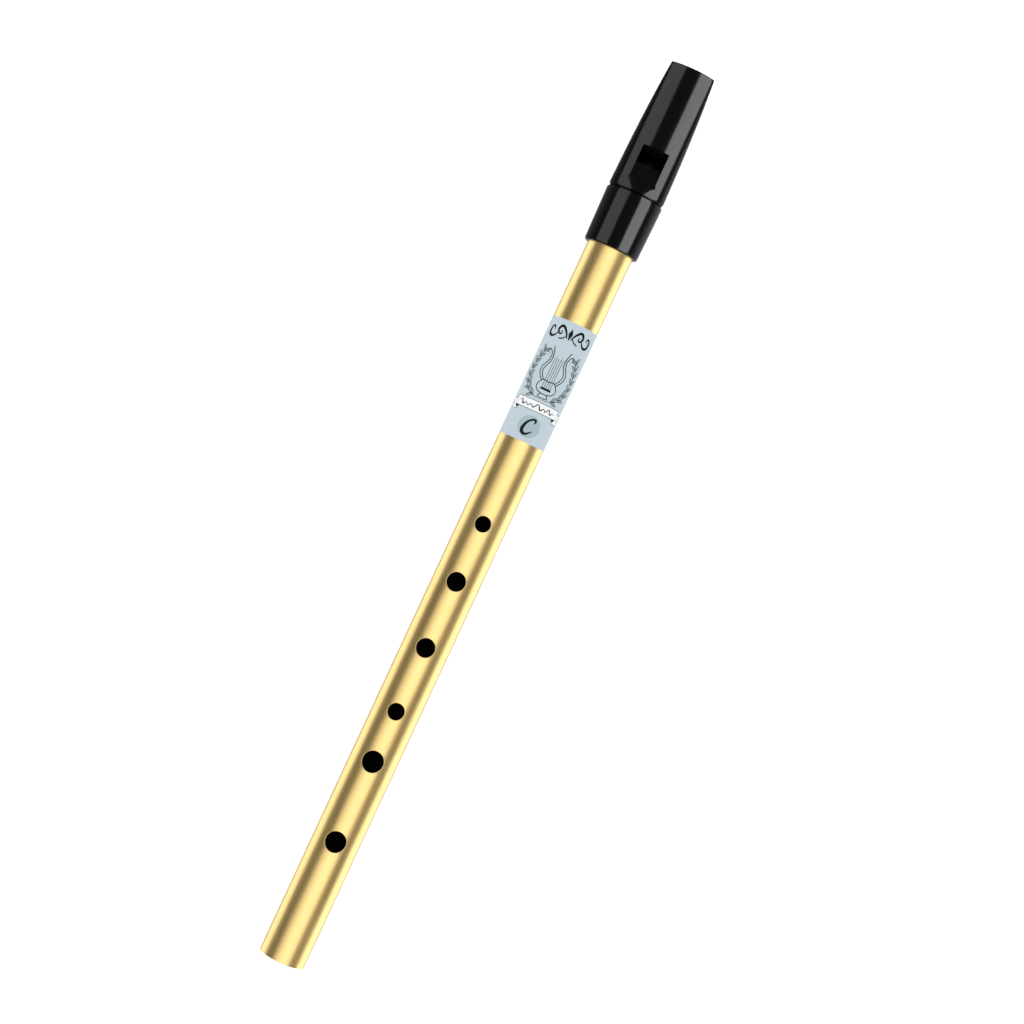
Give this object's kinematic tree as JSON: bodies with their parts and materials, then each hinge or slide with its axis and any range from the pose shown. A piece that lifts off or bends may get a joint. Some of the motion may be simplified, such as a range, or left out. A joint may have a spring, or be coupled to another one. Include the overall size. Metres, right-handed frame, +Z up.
{
  "type": "tin whistle",
  "caption": "Straight cylindrical brass tin whistle with tone holes, a wrapped label and a black moulded beak mouthpiece that slides on its tube for tuning.",
  "frame": {"origin": "centre of the length and width, at the level of the surface that the widest ring of the mouthpiece stands on", "axes": "+X along the tube towards the tip of the beak, +Z out through the tone holes and the window, +Y to the left when looking from the foot along +X with +Z up"},
  "size_m": [0.335, 0.0206, 0.0205],
  "materials": {
    "brass": "satin drawn brass, clear lacquered",
    "label_film": "matte printed film, pale blue-grey",
    "black_plastic": "glossy black moulded ABS",
    "block_plastic": "black moulded ABS"
  },
  "bodies": {
    "tube_body": {"tube": "brass", "label": "label_film"},
    "mouthpiece_body": {"mouthpiece_shell": "black_plastic", "fipple_block": "block_plastic"}
  },
  "joints": [
    {"name": "tuning_slide", "type": "slide", "parent": "tube_body", "child": "mouthpiece_body", "axis": [1, 0, 0], "range_m": [0, 0.01]}
  ]
}
